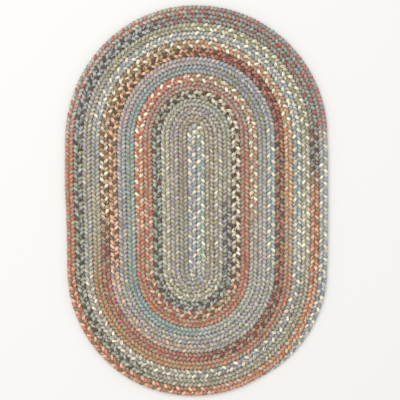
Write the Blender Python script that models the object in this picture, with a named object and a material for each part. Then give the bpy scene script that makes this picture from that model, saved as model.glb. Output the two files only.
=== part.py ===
"""Oval braided rug, about 2 ft by 3 ft, lying flat.

One long three-strand braid is wound flat around a straight middle and laced edge to edge,
so the whole rug is a single cloth. Seen from above the braid starts at the foot of the
middle, winds clockwise and outwards, and ends in a tail that is thinned off on the
rim. It is wound by hand, so its rounds stray a little from an even oval. The solid has a
round crest for each round of braid, a groove between every two, a rounded rim and a flat
underside.

The rug lies on z = 0, with the middle of its outline at the origin, its length along Y
and the tail at the corner towards +X and -Y. Units are metres.
"""

from collections import namedtuple
from math import cos, radians, sin

import bmesh
import bpy
from mathutils import Matrix, Vector

# Driving dimensions
ROUNDS = 15              # rounds of braid from the middle to the rim
PITCH = 0.0203           # width of the braid, and so the distance between two rounds
CORE = 0.315             # length of the straight middle that the first round folds around
THICKNESS = 0.011        # floor to the crest of a round
GROOVE = 0.0034          # depth of the laced groove between two rounds
TAIL_TAPER = 1.5         # how late the tail thins: 1 is a straight taper, more is later
TAIL_SINK = 0.002        # how far the tail's outer side sinks where it is half thinned

# Rim: the side of the outer braid, given from its top edge down to the floor
RIM_TOP = 0.62 * THICKNESS
RIM_LOW = 0.28 * THICKNESS
RIM_TUCK = 0.0028        # how far the underside stays back from the widest line

# One round of braid, in walking order. y is in half lengths of the middle and the
# direction out of the middle in degrees. "gain" is how far the braid moves out on that
# stretch, in pitches: nearly all at the foot, with the rest on a slightly skew left side.
Stretch = namedtuple("Stretch", "name steps y_from y_to out_from out_to gain")
ROUND = (
    Stretch("foot", 24, -1, -1, 0, -180, 0.85),
    Stretch("left", 6, -1, 1, 180, 180, 0.24),
    Stretch("head", 24, 1, 1, 180, 0, -0.09),
    Stretch("right", 6, 1, -1, 0, 0, 0.0),
)
STEPS = sum(stretch.steps for stretch in ROUND)
TAIL_STEPS = 8           # steps along the foot in which the tail thins to nothing
LENGTH_STEPS = ROUNDS * STEPS + TAIL_STEPS
WIDTH_STEPS = 4          # faces across one round

# How far the rounds stray outwards from the even oval, in millimetres: next to the middle,
# halfway out and at the rim. "walked" is the share of the round, a quarter to a stretch.
Stray = namedtuple("Stray", "walked core halfway rim")
STRAYS = (
    Stray(0.00, 0.5, -0.5, -2.0),
    Stray(0.05, 0.0, -1.9, -4.0),
    Stray(0.12, 3.2, -0.3, -4.0),
    Stray(0.18, 4.8, 0.8, -1.2),
    Stray(0.24, 1.0, 0.0, -0.8),
    Stray(0.33, 0.6, 0.2, -0.8),
    Stray(0.42, 0.2, 1.6, 1.7),
    Stray(0.48, 0.3, 1.3, 0.3),
    Stray(0.53, 1.5, -1.2, -3.0),
    Stray(0.60, 10.0, 2.0, -1.5),
    Stray(0.65, 5.0, 0.5, -2.0),
    Stray(0.70, -0.5, -1.2, -1.8),
    Stray(0.74, -2.0, -0.5, -1.2),
    Stray(0.80, -0.2, 1.3, 0.8),
    Stray(0.90, -0.5, 0.8, 0.8),
    Stray(0.98, 1.2, 0.9, -0.2),
    Stray(1.00, 0.5, -0.5, -2.0),
)
STRAY_AT = (1.5, 7.5, 13.5)   # pitches out from the middle line that the columns are for
SETTLED = 0.5            # pitches from the middle line within which it strays less

MERGE = 0.00005          # points of neighbouring rounds that are one and the same


def mix(start, end, share):
    return start + (end - start) * share


def stretch_at(step):
    """The stretch that a step of a round falls on, the share of it walked, the share of the
    whole round walked, and what the braid has moved out by then."""
    gained = 0.0
    for number, stretch in enumerate(ROUND):
        if step <= stretch.steps:
            share = step / stretch.steps
            walked = (number + share) / len(ROUND)
            return stretch, share, walked, gained + stretch.gain * share
        step -= stretch.steps
        gained += stretch.gain
    raise ValueError("a round has no such step")


def stray(distance, walked):
    """How far a point at a distance from the middle line strays outwards."""
    before, after = next(
        pair for pair in zip(STRAYS, STRAYS[1:]) if walked <= pair[1].walked
    )
    share = (walked - before.walked) / (after.walked - before.walked)
    share *= share * (3.0 - 2.0 * share)
    core, halfway, rim = (mix(a, b, share) for a, b in zip(before[1:], after[1:]))
    pitches = distance / PITCH
    near, mid, far = STRAY_AT
    inner_share = max(0.0, min(1.0, (pitches - near) / (mid - near)))
    outer_share = max(0.0, min(1.0, (pitches - mid) / (far - mid)))
    millimetres = mix(mix(core, halfway, inner_share), rim, outer_share)
    return 0.001 * millimetres * min(1.0, pitches / SETTLED)


def tail_width(step):
    """Share of the braid's width that is left at a step, 1 until the tail begins."""
    past = max(0, step - ROUNDS * STEPS)
    return 1.0 - (past / TAIL_STEPS) ** TAIL_TAPER


def top_height(across, width):
    """Height of the top surface at a share of the width across the braid: a round crest
    between two grooves, lower and falling outwards on the thinned tail."""
    crest = GROOVE * width * (1.0 - (2.0 * across - 1.0) ** 2)
    sink = TAIL_SINK * 4.0 * width * (1.0 - width) * across
    return THICKNESS - GROOVE + crest - sink


def braid_point(step, across):
    """A point on top of the braid: step counts along it, across runs from 0 at its inner
    edge to 1 at its outer edge. The braid starts inside the middle, one pitch too far in,
    so what would lie past the middle line is drawn in to it."""
    turn, within = divmod(step, STEPS)
    stretch, share, walked, gained = stretch_at(within)
    width = tail_width(step)
    distance = PITCH * (turn - 1 + gained + across * width)
    if distance < 0.0 or (turn == 0 and across == 0.0):
        distance = 0.0
    distance += stray(distance, walked)
    out = radians(mix(stretch.out_from, stretch.out_to, share))
    middle_y = mix(stretch.y_from, stretch.y_to, share) * CORE / 2
    height = top_height(across if distance else 0.0, width)
    return Vector((distance * cos(out), middle_y + distance * sin(out), height))


def lay_braid(mesh):
    """A long strip of faces laid along the braid and joined to itself from round to
    round, which gives the whole ridged top."""
    bmesh.ops.create_grid(mesh, x_segments=LENGTH_STEPS, y_segments=WIDTH_STEPS, size=0.5)
    for vertex in mesh.verts:
        step = round((vertex.co.x + 0.5) * LENGTH_STEPS)
        across = round((vertex.co.y + 0.5) * WIDTH_STEPS) / WIDTH_STEPS
        vertex.co = braid_point(step, across)
    bmesh.ops.remove_doubles(mesh, verts=mesh.verts, dist=MERGE)


def outwards(point):
    """Level direction from the middle line to a point."""
    nearest = max(-CORE / 2, min(CORE / 2, point.y))
    return Vector((point.x, point.y - nearest, 0.0)).normalized()


def lower_edge(mesh, edges, height, tuck):
    """Draws the open edge down to a height, moved in by tuck, and returns the new edge."""
    made = bmesh.ops.extrude_edge_only(mesh, edges=edges)["geom"]
    for vertex in (item for item in made if isinstance(item, bmesh.types.BMVert)):
        vertex.co -= outwards(vertex.co) * tuck
        vertex.co.z = height
    return [item for item in made if isinstance(item, bmesh.types.BMEdge) and item.is_boundary]


def close_rim(mesh):
    """Rounds the rim off over the edge of the outer braid and closes the flat underside."""
    edge = [item for item in mesh.edges if item.is_boundary]
    for vertex in {vertex for item in edge for vertex in item.verts}:
        vertex.co.z = RIM_TOP
    edge = lower_edge(mesh, edge, RIM_LOW, 0.0)
    edge = lower_edge(mesh, edge, 0.0, RIM_TUCK)
    bmesh.ops.edgeloop_fill(mesh, edges=edge)
    bmesh.ops.recalc_face_normals(mesh, faces=mesh.faces)


def outline_middle(mesh):
    """Middle of the rug's outline, seen from above."""
    xs = [vertex.co.x for vertex in mesh.verts]
    ys = [vertex.co.y for vertex in mesh.verts]
    return Vector(((min(xs) + max(xs)) / 2, (min(ys) + max(ys)) / 2, 0.0))


def yarn_material():
    """Mixed greys, tans, sages and reds of the yarn, as they blend at a distance."""
    material = bpy.data.materials.new("braid_yarn")
    material.use_nodes = True
    shader = material.node_tree.nodes["Principled BSDF"]
    shader.inputs["Base Color"].default_value = (0.36, 0.32, 0.26, 1.0)
    shader.inputs["Roughness"].default_value = 0.9
    shader.inputs["Metallic"].default_value = 0.0
    return material


def build_rug(collection):
    mesh = bmesh.new()
    lay_braid(mesh)
    close_rim(mesh)
    mesh.transform(Matrix.Translation(-outline_middle(mesh)))
    data = bpy.data.meshes.new("oval_braid")
    mesh.to_mesh(data)
    mesh.free()
    data.shade_smooth()
    data.set_sharp_from_angle(angle=radians(60))
    data.materials.append(yarn_material())
    rug = bpy.data.objects.new("oval_braid", data)
    collection.objects.link(rug)
    return rug


def main():
    for item in list(bpy.data.objects):
        bpy.data.objects.remove(item, do_unlink=True)
    collection = bpy.data.collections.new("Braided rug")
    bpy.context.scene.collection.children.link(collection)
    build_rug(collection)


main()
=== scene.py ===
"""Oval braided rug, about 2 ft by 3 ft, as the three strands of yarn that it is plaited from.

A flat three-strand braid, some 23.6 m of it, is wound around a straight middle and laced edge
to edge, by hand, so its rounds stray a little from an even oval. Each strand is one piece here,
with its own form all along the braid: it rises out of the middle, crosses over the top to one
edge, turns down and comes back underneath. The dyes change along each strand, as on
space-dyed yarn.

The rug lies flat on a pale floor and is seen from straight above. Units are metres.
"""

from collections import namedtuple

import bpy
import numpy as np
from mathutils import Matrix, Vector


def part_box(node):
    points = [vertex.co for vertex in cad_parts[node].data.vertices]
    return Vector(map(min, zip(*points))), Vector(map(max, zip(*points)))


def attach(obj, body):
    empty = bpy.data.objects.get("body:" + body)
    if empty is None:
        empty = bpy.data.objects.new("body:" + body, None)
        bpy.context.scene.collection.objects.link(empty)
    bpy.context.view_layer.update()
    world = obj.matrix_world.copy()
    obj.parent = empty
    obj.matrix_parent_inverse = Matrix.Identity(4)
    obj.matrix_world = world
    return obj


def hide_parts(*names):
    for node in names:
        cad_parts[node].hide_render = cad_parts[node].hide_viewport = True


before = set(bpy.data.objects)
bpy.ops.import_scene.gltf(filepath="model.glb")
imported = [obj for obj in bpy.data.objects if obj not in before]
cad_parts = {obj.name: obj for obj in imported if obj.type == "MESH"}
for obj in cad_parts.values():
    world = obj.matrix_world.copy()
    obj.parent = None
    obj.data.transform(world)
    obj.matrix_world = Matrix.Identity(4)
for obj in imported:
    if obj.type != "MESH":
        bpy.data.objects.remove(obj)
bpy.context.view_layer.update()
rug_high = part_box("oval_braid")[1]

# The braid, as it is wound
ROUNDS = 15              # rounds of braid from the middle to the rim
PITCH = 0.0203           # width of the braid, and so the distance between two rounds
CORE = 0.315             # length of the straight middle that the first round folds around
TAIL = 0.25 / 3          # rounds in which the end of the braid is thinned off
TAIL_TAPER = 1.5         # how late the tail thins: 1 is a straight taper, more is later
START = 0.14             # rounds from where the braid has a width worth drawing

# One round of braid, walked clockwise from above. y is in half lengths of the middle, out
# is the direction out of the middle in degrees, and gained is how far the braid has moved
# out by then, in pitches.
Corner = namedtuple("Corner", "rounds y out gained")
ROUND = (
    Corner(0.00, -1, 0, 0.00),       # the foot starts
    Corner(0.25, -1, -180, 0.85),    # the left side starts
    Corner(0.50, 1, -180, 1.09),     # the head starts
    Corner(0.75, 1, -360, 1.00),     # the right side starts
    Corner(1.00, -1, -360, 1.00),    # and ends where the next foot starts
)

# How far the rounds stray outwards from the even oval, in millimetres: next to the middle,
# halfway out and at the rim. "walked" is the share of the round, a quarter to a stretch.
Stray = namedtuple("Stray", "walked core halfway rim")
STRAYS = (
    Stray(0.00, 0.5, -0.5, -2.0),
    Stray(0.05, 0.0, -1.9, -4.0),
    Stray(0.12, 3.2, -0.3, -4.0),
    Stray(0.18, 4.8, 0.8, -1.2),
    Stray(0.24, 1.0, 0.0, -0.8),
    Stray(0.33, 0.6, 0.2, -0.8),
    Stray(0.42, 0.2, 1.6, 1.7),
    Stray(0.48, 0.3, 1.3, 0.3),
    Stray(0.53, 1.5, -1.2, -3.0),
    Stray(0.60, 10.0, 2.0, -1.5),
    Stray(0.65, 5.0, 0.5, -2.0),
    Stray(0.70, -0.5, -1.2, -1.8),
    Stray(0.74, -2.0, -0.5, -1.2),
    Stray(0.80, -0.2, 1.3, 0.8),
    Stray(0.90, -0.5, 0.8, 0.8),
    Stray(0.98, 1.2, 0.9, -0.2),
    Stray(1.00, 0.5, -0.5, -2.0),
)
STRAY_AT = (1.5, 7.5, 13.5)   # pitches out from the middle line that the columns are for
SETTLED = 0.5            # pitches from the middle line within which it strays less
MILLIMETRE = 0.001
RIM_STEPS = 4000         # steps in which the last round is walked to find the rim
LINE_STEPS = 40000       # steps in which the whole braid is walked

# The plait, and a strand in it
STRANDS = ("first_strand", "second_strand", "third_strand")
REPEAT = 0.0293          # length of braid in which a strand crosses over and back once
SWING = 0.0064           # how far a strand's middle swings to each side
TURN = 0.03              # how much sharper than a sine wave it turns at the edges
SLANT = 0.12             # how much slower it goes out on top than it comes back underneath
RISE = 0.0031            # how far it rises and dips
CREST = 38               # degrees of its swing by which it is still up at the braid's edge
STRAND_WIDTH = 0.0076
STRAND_HEIGHT = 0.0048
SQUARENESS = 4           # 2 is an ellipse, and more is fuller at its corners
UNEVEN = 0.05            # share by which a strand's swing and thickness wander by hand
SWING_WANDER = 0.021     # length over which its swing does
HEIGHT_WANDER = 0.017    # its height
WIDTH_WANDER = 0.019     # and its width
MIDDLE_HEIGHT = RISE + STRAND_HEIGHT / 2 * (1 + UNEVEN)   # of the braid, above the floor
THINNEST = 0.45          # share of the thickness that is left where the braid ends
SLIMMING = 0.5           # power of the braid's width that a strand's own width follows
STATIONS = 15            # rings of points in one repeat
CLOSER = 0.5             # share by which they are closer together where the strand turns
SIDES = 8                # points round a strand
STRIPS = 36              # equal lengths of a strand side by side in the map for its picture
STRIP_GAP = 0.06         # share of a strip that is left free on each side
END_PLACES = (0.25, 0.75)     # where its two ends lie along the last strip
END_RADIUS = 0.4         # their radius there, as a share of a strip
CLEAR = 0.0031           # distance from the middle of the thickness, up or down, from where
                         # a strand is clear of the others' shade
DEEP_SHADE = 0.54        # painted shade: how light the wool is painted that lies deepest, in the others' shade
OPEN_EDGE = 0.005        # width of the rim's outer edge, which nothing shades

# Yarn
YARNS = 9                # yarns round a strand
YARN_TWIST = 5.0         # turns of the bundle in a metre
PLY_TWIST = 0.0065       # length of one turn of a two-ply yarn, drawn coarse enough to show
YARN_RELIEF = 0.0004     # depth of the furrows between the yarns
DYE_BLEND = 0.035        # length on each side of a change of dye in which it blends
YARN_DRIFT = 0.009       # length over which one yarn drifts to another shade
STITCH_DRIFT = 0.022     # length over which the whole strand does
MARL = 0.54              # share of a strand's yarns that are the next strand's, where the
                         # dyes are alike
LEAST_MARL = 0.23        # where they differ much
UNLIKE = 0.09            # spread of their lightness that is between the two
STRAND_APART = 50        # metres of shades between the starts of two strands' runs
YARN_APART = 7.31        # distance between two yarns' runs of shades, in drifts
NOISE_SPAN = (0.25, 0.75)     # where nearly all of the noise lies, which the shades span
LOT_SPAN = (0.3, 0.7)    # the same, for the draw of which yarns are marled
MARL_EDGE = 0.1          # half the width of the draw over which one dye gives way to the other
HUES = (0.48, 0.52)      # a yarn's hue, where 0.5 is the dye's own
FULLNESS = (0.65, 1.05)  # a stitch's fullness of colour, where 1 is the dye's own
YARN_LIGHT = (0.55, 1.45)     # how light a yarn is, against its dye
STITCH_LIGHT = (0.92, 1.08)   # and a whole stitch
LEAST_PLY = 0.5          # how high the dip between two plies still stands
FURROW_LIGHT = (0.62, 1.12)   # how light the wool is painted at the bottom and the top of the relief: painted shade and painted light

# The light and the view
VIEW_WIDTH = 0.9282      # what the picture takes in at the height of the rug
VIEW_HEIGHT = 3.2        # the camera, above the floor
VIEW_AIM = Vector((0.0079, 0.0084))   # where it looks, from the middle of the middle line
VIEW_DEPTH = 50          # how far it sees
SENSOR = 0.036
FLOOR_SIDE = 12.0
FLOOR_COLOUR = "D2D1CE"
SKY_COLOUR = "FBFCFF"    # of the light from all round
SKY_STRENGTH = 0.90
SOFTBOX_SIDE = 5.0
SOFTBOX_PLACE = Vector((-1.6, 1.5, 4.8))
SOFTBOX_COLOUR = (1.0, 0.985, 0.96)
SOFTBOX_POWER = 236      # watts

DYES = {
    "cream": "E8DCBA",
    "linen": "D6CAAF",
    "oat": "C3B69B",
    "khaki": "A69C77",
    "olive": "9E9868",
    "sage": "9FA284",
    "seafoam": "A3B0A0",
    "teal": "87A69D",
    "sky": "95A1A8",
    "denim": "8192A2",
    "mist": "B3B0A2",
    "lilac": "A89FA7",
    "mauve": "A99592",
    "taupe": "A19180",
    "tan": "B48E5C",
    "bark": "8C6E49",
    "brown": "7A5638",
    "walnut": "604228",
    "charcoal": "5B4E44",
    "plum": "664442",
    "maroon": "763F35",
    "russet": "9F4F30",
    "brick": "A95C48",
    "rust": "BE6450",
    "rose": "B8775E",
    "blush": "C8A68D",
    "terracotta": "CA7549",
    "amber": "CC8B48",
    "peach": "E4B088",
}

# The dyes along each strand, as charted: the rounds walked when a dye starts, and its name
FIRST_DYES = (
    (0.00, "cream"), (1.00, "sage"), (1.12, "olive"), (1.37, "khaki"), (1.75, "olive"),
    (1.87, "khaki"), (2.50, "oat"), (2.80, "linen"), (3.50, "oat"), (3.62, "khaki"),
    (3.75, "taupe"), (3.87, "charcoal"), (4.37, "plum"), (4.50, "walnut"), (5.00, "brown"),
    (5.12, "russet"), (5.25, "rust"), (6.62, "rose"), (6.90, "taupe"), (7.00, "oat"),
    (7.12, "sage"), (7.62, "olive"), (7.75, "sage"), (7.87, "oat"), (8.50, "blush"),
    (8.62, "oat"), (8.75, "cream"), (9.00, "oat"), (9.12, "peach"), (9.62, "rose"),
    (9.75, "olive"), (10.00, "khaki"), (10.25, "taupe"), (10.33, "cream"), (10.75, "peach"),
    (10.87, "blush"), (11.00, "rose"), (11.12, "tan"), (11.25, "khaki"), (11.50, "cream"),
    (12.25, "oat"), (12.62, "cream"), (13.00, "oat"), (13.16, "mist"), (13.25, "seafoam"),
    (13.60, "teal"), (13.75, "sky"), (13.83, "peach"), (14.00, "oat"), (14.12, "peach"),
    (14.25, "terracotta"), (14.50, "oat"), (14.62, "teal"), (14.75, "sky"), (14.95, "denim"),
)
SECOND_DYES = (
    (0.00, "sky"), (0.50, "mist"), (0.75, "sky"), (0.87, "teal"), (1.00, "mist"),
    (1.25, "sage"), (1.37, "taupe"), (1.75, "mauve"), (1.87, "taupe"), (2.00, "lilac"),
    (2.75, "mist"), (2.87, "lilac"), (3.00, "mist"), (3.12, "sage"), (3.62, "seafoam"),
    (3.87, "sage"), (4.00, "seafoam"), (4.12, "sage"), (4.62, "oat"), (5.00, "khaki"),
    (5.12, "sage"), (5.50, "khaki"), (6.33, "cream"), (6.90, "oat"), (7.00, "mist"),
    (7.12, "teal"), (7.62, "sky"), (7.75, "mist"), (8.12, "sage"), (8.25, "taupe"),
    (8.37, "sky"), (8.50, "mist"), (8.62, "sky"), (9.00, "lilac"), (9.25, "brown"),
    (9.50, "walnut"), (9.75, "plum"), (10.00, "maroon"), (10.12, "rust"), (10.25, "brown"),
    (10.50, "bark"), (10.62, "khaki"), (10.87, "sage"), (11.12, "olive"), (11.25, "sage"),
    (11.33, "oat"), (11.42, "mist"), (11.75, "seafoam"), (11.87, "mist"), (12.00, "taupe"),
    (12.25, "lilac"), (12.55, "sage"), (12.75, "mist"), (12.87, "oat"), (13.00, "taupe"),
    (13.16, "charcoal"), (13.37, "plum"), (13.50, "charcoal"), (13.60, "russet"),
    (13.75, "walnut"), (13.83, "terracotta"), (14.00, "amber"), (14.12, "terracotta"),
    (14.25, "rust"), (14.75, "mist"),
)
THIRD_DYES = (
    (0.00, "lilac"), (0.50, "sage"), (0.75, "seafoam"), (0.87, "mist"), (1.00, "lilac"),
    (1.37, "mauve"), (1.50, "oat"), (2.50, "taupe"), (2.75, "khaki"), (3.00, "olive"),
    (3.12, "khaki"), (3.25, "oat"), (3.50, "mist"), (3.75, "oat"), (3.87, "lilac"),
    (4.00, "taupe"), (4.12, "lilac"), (4.25, "seafoam"), (4.50, "mist"), (4.62, "cream"),
    (5.00, "peach"), (5.37, "terracotta"), (5.50, "mauve"), (5.75, "rose"),
    (6.00, "terracotta"), (6.33, "amber"), (6.50, "terracotta"), (6.62, "khaki"),
    (6.90, "mist"), (7.00, "seafoam"), (7.12, "sky"), (7.25, "mist"), (7.50, "lilac"),
    (8.75, "seafoam"), (9.00, "sage"), (9.12, "khaki"), (9.25, "peach"), (9.37, "tan"),
    (9.62, "brick"), (9.75, "rust"), (10.00, "brick"), (10.33, "tan"), (10.62, "terracotta"),
    (10.75, "amber"), (11.00, "terracotta"), (11.30, "oat"), (11.40, "sky"), (11.75, "denim"),
    (11.87, "sky"), (12.12, "mist"), (12.25, "sage"), (12.37, "olive"), (12.50, "khaki"),
    (12.87, "sage"), (13.50, "lilac"), (13.60, "taupe"), (13.75, "khaki"), (13.83, "bark"),
    (14.00, "rust"), (14.12, "bark"), (14.25, "khaki"), (14.50, "seafoam"), (14.62, "taupe"),
    (14.75, "cream"),
)
DYE_CHARTS = (FIRST_DYES, SECOND_DYES, THIRD_DYES)


def linear(code):
    """An sRGB hex colour as linear light."""
    shown = np.array([int(code[i:i + 2], 16) for i in (0, 2, 4)]) / 255
    return np.where(shown <= 0.04045, shown / 12.92, ((shown + 0.055) / 1.055) ** 2.4)


def eased(share):
    """A share of the way from one value to the next, which starts and stops gently."""
    return share * share * (3 - 2 * share)


# ---- The braid's way round the rug -------------------------------------------------------

def strayed(distance, walked):
    """Distances from the middle line, with how far the rounds stray there."""
    table = np.array(STRAYS)
    before = np.clip(np.searchsorted(table[:, 0], walked, side="right") - 1, 0, len(table) - 2)
    share = eased((walked - table[before, 0]) / (table[before + 1, 0] - table[before, 0]))
    core, halfway, rim = (table[before] + (table[before + 1] - table[before])
                          * share[:, None]).T[1:]
    pitches = distance / PITCH
    near, mid, far = STRAY_AT
    inner_share = np.clip((pitches - near) / (mid - near), 0, 1)
    outer_share = np.clip((pitches - mid) / (far - mid), 0, 1)
    millimetres = core + (halfway - core) * inner_share
    millimetres += (rim - millimetres) * outer_share
    return distance + MILLIMETRE * millimetres * np.minimum(1, pitches / SETTLED)


def braid_edges(rounds):
    """Where the braid lies: the point of the middle line that it goes around, the direction
    out from there, and how far out its two edges are."""
    turn = np.floor(rounds)
    at = [corner.rounds for corner in ROUND]
    y = np.interp(rounds - turn, at, [corner.y for corner in ROUND]) * CORE / 2
    out = np.radians(np.interp(rounds - turn, at, [corner.out for corner in ROUND]))
    gained = np.interp(rounds - turn, at, [corner.gained for corner in ROUND])
    tail = np.clip((rounds - ROUNDS) / TAIL, 0, 1)
    width = 1 - tail ** TAIL_TAPER
    inner = np.maximum(0, PITCH * (turn - 1 + gained))
    outer = np.maximum(inner, PITCH * (turn - 1 + gained + width))
    inner = strayed(inner, rounds - turn)
    outer = strayed(outer, rounds - turn)
    return np.stack([0 * y, y], 1), np.stack([np.cos(out), np.sin(out)], 1), inner, outer


def middle_in_frame():
    """Where the middle of the middle line is in the frame: there, the rim that the braid
    winds out to touches the sides of the solid rug's box."""
    last_round = np.linspace(ROUNDS - 1, ROUNDS, RIM_STEPS, endpoint=False)
    middle, out, inner, outer = braid_edges(last_round)
    rim = middle + out * outer[:, None]
    return Vector((rug_high.x, rug_high.y)) - Vector(rim.max(0).tolist())


def along_braid():
    """Evenly spaced stations along the braid's centre line: how far each is along the braid,
    and the rounds walked there."""
    fine = np.linspace(START, ROUNDS + TAIL, LINE_STEPS)
    middle, out, inner, outer = braid_edges(fine)
    line = middle + out * ((inner + outer) / 2)[:, None]
    steps = np.linalg.norm(np.diff(line, axis=0), axis=1)
    walked = np.concatenate([[0], np.cumsum(steps)])
    stations = np.arange(0, walked[-1], REPEAT / STATIONS)
    return stations, np.interp(stations, walked, fine)


def closer_at_turns(stations, number):
    """A strand's own stations, closer together where it turns at the edges of the braid."""
    phase = strand_phase(stations, number)
    from_end = np.minimum(stations, stations[-1] - stations)
    share = CLOSER * np.clip(from_end / REPEAT, 0, 1)
    return stations + share * REPEAT / (4 * np.pi) * np.sin(2 * phase)


def wander(stations, length, seed):
    """A smooth uneven run of numbers between -1 and 1, which changes over some length."""
    steps = np.random.RandomState(seed).uniform(-1, 1, int(stations[-1] / length) + 3)
    place = stations / length
    before = place.astype(int)
    share = eased(place - before)
    return steps[before] * (1 - share) + steps[before + 1] * share


# ---- A strand ----------------------------------------------------------------------------

def thickness_share(width):
    """How thick the braid is where it is thinned to a share of its width."""
    return THINNEST + (1 - THINNEST) * np.clip(width, 0, 1)


def strand_phase(stations, number):
    """Where a strand is in its swing from side to side, in radians."""
    return 2 * np.pi * (stations / REPEAT + number / len(STRANDS))


def strand_rings(stations, rounds, number):
    """The points of one strand, a ring of them at each station. Its swing, height and width
    wander each with a seed of its own."""
    middle, out, inner, outer = braid_edges(rounds)
    middle = middle + MIDDLE
    width = (outer - inner) / PITCH
    phase = strand_phase(stations, number)
    swing = np.sin(phase) - TURN * np.sin(3 * phase) + SLANT * np.cos(3 * phase)
    swing *= SWING * width
    swing *= 1 + UNEVEN * wander(stations, SWING_WANDER, number)
    thickness = thickness_share(width)
    rise = RISE * thickness * np.sin(2 * phase - np.radians(CREST))
    half_height = STRAND_HEIGHT / 2 * thickness
    half_height *= 1 + UNEVEN * wander(stations, HEIGHT_WANDER, number + len(STRANDS))
    place = np.empty((len(stations), 3))
    place[:, :2] = middle + out * ((inner + outer) / 2 + swing)[:, None]
    place[:, 2] = MIDDLE_HEIGHT * thickness + rise
    forward = np.gradient(place, axis=0)
    forward /= np.linalg.norm(forward, axis=1)[:, None]
    side = np.cross([0, 0, 1], forward)
    side /= np.linalg.norm(side, axis=1)[:, None]
    up = np.cross(forward, side)
    half_width = STRAND_WIDTH / 2 * width ** SLIMMING
    half_width *= 1 + UNEVEN * wander(stations, WIDTH_WANDER, number + 2 * len(STRANDS))
    round_it = 2 * np.pi * np.arange(SIDES) / SIDES
    across = np.sign(np.cos(round_it)) * np.abs(np.cos(round_it)) ** (2 / SQUARENESS)
    upright = np.sign(np.sin(round_it)) * np.abs(np.sin(round_it)) ** (2 / SQUARENESS)
    return (
        place[:, None]
        + side[:, None] * (half_width[:, None] * across)[:, :, None]
        + up[:, None] * (half_height[:, None] * upright)[:, :, None]
    )


def dye_run(chart, stations, rounds):
    """The colour of one strand at each station, where one dye blends into the next."""
    places, names = zip(*chart)
    changes = np.interp(places, rounds, stations)
    blended = np.ravel([changes - DYE_BLEND, changes + DYE_BLEND], "F")[1:]
    blended = np.maximum.accumulate(blended)
    shades = np.repeat([linear(DYES[name]) for name in names], 2, axis=0)[:-1]
    return np.stack([np.interp(stations, blended, part) for part in shades.T], 1)


def strand_colours(stations, rounds):
    """The colour of each strand at each station, and the share of its yarns that are the next
    strand's."""
    own = np.array([dye_run(chart, stations, rounds) for chart in DYE_CHARTS])
    spread = own.mean(2).std(0)
    return own, LEAST_MARL + (MARL - LEAST_MARL) * np.exp(-(spread / UNLIKE) ** 2)


def strip_map(data, ring, corner, count):
    """The map for a picture of a strand: equal lengths of it side by side, then its two ends."""
    rings_each = -(-(count - 1) // STRIPS)
    strip, step = np.divmod(ring, rings_each)
    along = (step[:, None] + np.array([0, 0, 1, 1])) / rings_each
    share = (SIDES - corner[:, None] - np.array([0, 1, 1, 0])) / SIDES
    across = (strip[:, None] + STRIP_GAP + (1 - 2 * STRIP_GAP) * share) / (STRIPS + 1)
    turned = 2 * np.pi * np.arange(SIDES) / SIDES
    radius = END_RADIUS / (STRIPS + 1)
    places = [np.stack([along.ravel(), across.ravel()], 1)]
    for end in END_PLACES:
        middle = (end, (STRIPS + 0.5) / (STRIPS + 1))
        places.append(middle + radius * np.stack([np.cos(turned), np.sin(turned)], 1))
    data.uv_layers.new(name="OFBake").data.foreach_set("uv", np.concatenate(places).ravel())


def yarn_map(data, ring, corner, rings, number):
    """The map that the wool is drawn by: metres along the strand, and the share of the way
    round it. Each strand starts far past the last one, so no two have the same shades."""
    steps = np.linalg.norm(np.diff(rings.mean(1), axis=0), axis=1)
    along = number * STRAND_APART + np.concatenate([[0], np.cumsum(steps)])
    places = np.zeros((len(data.loops), 2))
    places[:4 * len(ring), 0] = along[ring[:, None] + np.array([0, 0, 1, 1])].ravel()
    places[:4 * len(ring), 1] = ((corner[:, None] + np.array([0, 1, 1, 0])) / SIDES).ravel()
    layer = data.uv_layers.new(name="yarn")
    layer.data.foreach_set("uv", places.ravel())
    layer.active_render = True


def strand_shade(rings, rounds):
    """How light the wool of a strand is painted at each point: painted shade, darker where the
    others shade it, halfway up the braid, but not on the rim's open edge."""
    middle, out, inner, outer = braid_edges(rounds)
    distance = ((rings[:, :, :2] - (middle + MIDDLE)[:, None]) * out[:, None]).sum(2)
    beyond = np.clip((distance - outer[:, None]) / OPEN_EDGE + 1, 0, 1)
    beyond[rounds < ROUNDS - 1] = 0
    full_height = rings[:, :, 2] / thickness_share((outer - inner) / PITCH)[:, None]
    clear = np.clip(np.abs(full_height - MIDDLE_HEIGHT) / CLEAR, 0, 1)
    return DEEP_SHADE + (1 - DEEP_SHADE) * np.maximum(clear, beyond)


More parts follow.
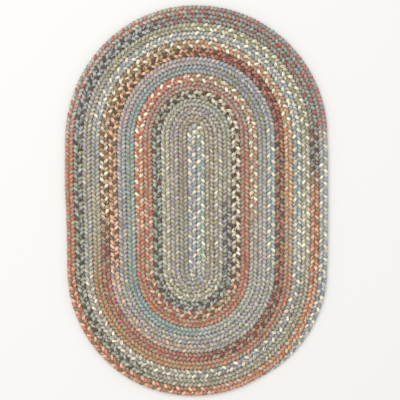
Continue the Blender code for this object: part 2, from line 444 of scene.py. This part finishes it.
def build_strand(name, number, even_stations, even_rounds, material):
    """One strand as a closed tube, with its dyes darkened by painted shade, and its two maps."""
    stations = closer_at_turns(even_stations, number)
    rounds = np.interp(stations, even_stations, even_rounds)
    rings = strand_rings(stations, rounds, number)
    count = len(rings)
    ring, corner = np.divmod(np.arange((count - 1) * SIDES), SIDES)
    following = (corner + 1) % SIDES
    faces = np.stack([
        ring * SIDES + corner,
        ring * SIDES + following,
        (ring + 1) * SIDES + following,
        (ring + 1) * SIDES + corner,
    ], 1)
    caps = [list(range(SIDES))[::-1], list(range((count - 1) * SIDES, count * SIDES))]
    data = bpy.data.meshes.new(name)
    data.from_pydata(rings.reshape(-1, 3).tolist(), [], faces.tolist() + caps)
    data.shade_smooth()
    data.materials.append(material)

    colours, marl = strand_colours(stations, rounds)
    shade = strand_shade(rings, rounds)
    following_strand = (number + 1) % len(STRANDS)
    # Painted shade: each dye is stored darkened where the wool lies deep in the braid
    for dye_with_painted_shade, colour in (("dye_with_painted_shade", colours[number]), ("marled_dye_with_painted_shade", colours[following_strand])):
        shaded = np.ones((count, SIDES, 4))
        shaded[:, :, :3] = colour[:, None] * shade[:, :, None]
        layer = data.attributes.new(dye_with_painted_shade, "FLOAT_COLOR", "POINT")
        layer.data.foreach_set("color", shaded.ravel())
    layer = data.attributes.new("marl", "FLOAT", "POINT")
    layer.data.foreach_set("value", np.repeat(marl, SIDES))

    strand = bpy.data.objects.new(name, data)
    bpy.context.scene.collection.objects.link(strand)
    strip_map(data, ring, corner, count)
    yarn_map(data, ring, corner, rings, number)
    return strand


# ---- Materials ---------------------------------------------------------------------------

def add(tree, kind, inputs, **settings):
    """Adds a node with its settings. An input is given by its name or place, and takes
    either a value or a link from another node's output."""
    node = tree.nodes.new(kind)
    for name, value in settings.items():
        setattr(node, name, value)
    for place, value in inputs.items():
        if isinstance(value, bpy.types.NodeSocket):
            tree.links.new(value, node.inputs[place])
        else:
            node.inputs[place].default_value = value
    return node


def space_dyed_wool():
    """Wool yarn, spun in two plies, dyed in runs of colour and laid side by side in a strand.
    Matt and slightly hairy, with fine furrows along it, painted darker in them as painted shade
    and lighter on the tops as painted light."""
    material = bpy.data.materials.new("space_dyed_wool")
    material.use_nodes = True
    tree = material.node_tree
    shader = tree.nodes["Principled BSDF"]
    shader.inputs["Roughness"].default_value = 0.92
    shader.inputs["Specular IOR Level"].default_value = 0.25
    shader.inputs["Sheen Weight"].default_value = 0.15
    shader.inputs["Sheen Roughness"].default_value = 0.6

    # Where a point is: metres along the strand, which yarn, and how far across that yarn
    yarn_map = add(tree, "ShaderNodeUVMap", {}, uv_map="yarn")
    split = add(tree, "ShaderNodeSeparateXYZ", {0: yarn_map.outputs["UV"]})
    along = split.outputs["X"]
    turned = add(tree, "ShaderNodeMath",
                 {0: along, 1: YARN_TWIST, 2: split.outputs["Y"]}, operation="MULTIPLY_ADD")
    yarns = add(tree, "ShaderNodeMath", {0: turned.outputs[0], 1: YARNS}, operation="MULTIPLY")
    whole = add(tree, "ShaderNodeMath", {0: yarns.outputs[0]}, operation="FLOOR")
    number = add(tree, "ShaderNodeMath",
                 {0: whole.outputs[0], 1: YARNS}, operation="FLOORED_MODULO")
    across = add(tree, "ShaderNodeMath", {0: yarns.outputs[0]}, operation="FRACT")

    # Each yarn drifts through its own shades, and so does each stitch
    # The dyes as stored on the strands, darkened by painted shade deep in the braid
    dye_with_painted_shade = add(tree, "ShaderNodeAttribute", {}, attribute_name="dye_with_painted_shade")
    marled_dye_with_painted_shade = add(tree, "ShaderNodeAttribute", {}, attribute_name="marled_dye_with_painted_shade")
    marl = add(tree, "ShaderNodeAttribute", {}, attribute_name="marl")
    place = add(tree, "ShaderNodeCombineXYZ", {"X": along, "Y": number.outputs[0]})
    yarn_place = add(tree, "ShaderNodeVectorMath",
                     {0: place.outputs[0], 1: (1 / YARN_DRIFT, YARN_APART, 0)},
                     operation="MULTIPLY")
    yarn_drift = add(tree, "ShaderNodeTexNoise",
                     {"Vector": yarn_place.outputs[0], "Scale": 1.0, "Detail": 2.0})
    yarn_parts = add(tree, "ShaderNodeSeparateColor", {0: yarn_drift.outputs["Color"]})
    lot = add(tree, "ShaderNodeMapRange",
              {"Value": yarn_parts.outputs[2],
               "From Min": LOT_SPAN[0], "From Max": LOT_SPAN[1]})
    strange = add(tree, "ShaderNodeMath",
                  {0: marl.outputs["Fac"], 1: lot.outputs[0]}, operation="SUBTRACT")
    swapped = add(tree, "ShaderNodeMapRange",
                  {"Value": strange.outputs[0],
                   "From Min": -MARL_EDGE, "From Max": MARL_EDGE})
    wool = add(tree, "ShaderNodeMix",
               {"Factor": swapped.outputs[0], 6: dye_with_painted_shade.outputs["Color"],
                7: marled_dye_with_painted_shade.outputs["Color"]}, data_type="RGBA")
    stitch_place = add(tree, "ShaderNodeVectorMath",
                       {0: place.outputs[0], 1: (1 / STITCH_DRIFT, 0, 0)}, operation="MULTIPLY")
    stitch_drift = add(tree, "ShaderNodeTexNoise",
                       {"Vector": stitch_place.outputs[0], "Scale": 1.0, "Detail": 1.0})
    stitch_parts = add(tree, "ShaderNodeSeparateColor", {0: stitch_drift.outputs["Color"]})
    spanned = {"From Min": NOISE_SPAN[0], "From Max": NOISE_SPAN[1]}
    hue = add(tree, "ShaderNodeMapRange",
              {"Value": yarn_parts.outputs[0], **spanned,
               "To Min": HUES[0], "To Max": HUES[1]})
    yarn_light = add(tree, "ShaderNodeMapRange",
                     {"Value": yarn_parts.outputs[1], **spanned,
                      "To Min": YARN_LIGHT[0], "To Max": YARN_LIGHT[1]})
    stitch_light = add(tree, "ShaderNodeMapRange",
                       {"Value": stitch_parts.outputs[1], **spanned,
                        "To Min": STITCH_LIGHT[0], "To Max": STITCH_LIGHT[1]})
    fullness = add(tree, "ShaderNodeMapRange",
                   {"Value": stitch_parts.outputs[0], **spanned,
                    "To Min": FULLNESS[0], "To Max": FULLNESS[1]})
    light = add(tree, "ShaderNodeMath",
                {0: yarn_light.outputs[0], 1: stitch_light.outputs[0]}, operation="MULTIPLY")
    shade = add(tree, "ShaderNodeHueSaturation",
                {"Color": wool.outputs[2], "Hue": hue.outputs[0],
                 "Saturation": fullness.outputs[0], "Value": light.outputs[0]})

    # The furrows between the yarns, and the twist of each yarn's two plies, as bumps and as
    # painted shade in the furrows with painted light on the tops
    wave = add(tree, "ShaderNodeMath", {0: across.outputs[0], 1: 0.5}, operation="PINGPONG")
    arch = add(tree, "ShaderNodeMapRange", {"Value": wave.outputs[0], "From Max": 0.5},
               interpolation_type="SMOOTHSTEP")
    ply_turn = add(tree, "ShaderNodeMath",
                   {0: along, 1: 1 / PLY_TWIST, 2: across.outputs[0]}, operation="MULTIPLY_ADD")
    ply_wave = add(tree, "ShaderNodeMath",
                   {0: ply_turn.outputs[0], 1: 0.5}, operation="PINGPONG")
    ply = add(tree, "ShaderNodeMapRange",
              {"Value": ply_wave.outputs[0], "From Max": 0.5, "To Min": LEAST_PLY},
              interpolation_type="SMOOTHSTEP")
    relief = add(tree, "ShaderNodeMath",
                 {0: arch.outputs[0], 1: ply.outputs[0]}, operation="MULTIPLY")
    # Painted shade in the furrows and painted light on the tops, multiplied into the wool's
    # colour
    painted_furrow_light = add(tree, "ShaderNodeMapRange",
                 {"Value": relief.outputs[0],
                  "To Min": FURROW_LIGHT[0], "To Max": FURROW_LIGHT[1]})
    colour_with_painted_furrow_light = add(tree, "ShaderNodeVectorMath",
                   {0: shade.outputs["Color"], "Scale": painted_furrow_light.outputs[0]}, operation="SCALE")
    bump = add(tree, "ShaderNodeBump",
               {"Height": relief.outputs[0], "Distance": YARN_RELIEF, "Strength": 0.9})
    tree.links.new(colour_with_painted_furrow_light.outputs[0], shader.inputs["Base Color"])
    tree.links.new(bump.outputs["Normal"], shader.inputs["Normal"])
    return material


def painted_floor():
    """Matt white paint on a smooth board: a plain pale ground with no shine."""
    material = bpy.data.materials.new("painted_floor")
    material.use_nodes = True
    shader = material.node_tree.nodes["Principled BSDF"]
    shader.inputs["Roughness"].default_value = 0.8
    shader.inputs["Specular IOR Level"].default_value = 0.2
    shader.inputs["Base Color"].default_value = (*linear(FLOOR_COLOUR), 1)
    return material


# ---- Stage -------------------------------------------------------------------------------

def lay_floor():
    data = bpy.data.meshes.new("floor")
    half = FLOOR_SIDE / 2
    data.from_pydata([(-half, -half, 0), (half, -half, 0), (half, half, 0), (-half, half, 0)],
                     [], [(0, 1, 2, 3)])
    data.materials.append(painted_floor())
    floor = bpy.data.objects.new("floor", data)
    bpy.context.scene.collection.objects.link(floor)


def set_camera():
    data = bpy.data.cameras.new("camera")
    data.sensor_width = SENSOR / MILLIMETRE
    data.lens = SENSOR / MILLIMETRE * (VIEW_HEIGHT - rug_high.z) / VIEW_WIDTH
    data.clip_end = VIEW_DEPTH
    camera = bpy.data.objects.new("camera", data)
    camera.location = (*(MIDDLE + VIEW_AIM), VIEW_HEIGHT)
    bpy.context.scene.collection.objects.link(camera)
    bpy.context.scene.camera = camera


def set_lights():
    world = bpy.data.worlds.new("studio")
    bpy.context.scene.world = world
    world.use_nodes = True
    background = world.node_tree.nodes["Background"]
    background.inputs["Color"].default_value = (*linear(SKY_COLOUR), 1)
    background.inputs["Strength"].default_value = SKY_STRENGTH
    data = bpy.data.lights.new("softbox", "AREA")
    data.shape = "RECTANGLE"
    data.size = SOFTBOX_SIDE
    data.size_y = SOFTBOX_SIDE
    data.energy = SOFTBOX_POWER
    data.color = SOFTBOX_COLOUR
    light = bpy.data.objects.new("softbox", data)
    light.location = SOFTBOX_PLACE
    light.rotation_euler = (-SOFTBOX_PLACE).to_track_quat("-Z", "Y").to_euler()
    bpy.context.scene.collection.objects.link(light)
    bpy.context.scene.view_settings.view_transform = "Standard"


MIDDLE = middle_in_frame()
set_camera()
set_lights()
lay_floor()

wool = space_dyed_wool()
stations, rounds = along_braid()
strands = [
    build_strand(name, number, stations, rounds, wool)
    for number, name in enumerate(STRANDS)
]
for strand in strands:
    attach(strand, "root")
    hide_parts("oval_braid")
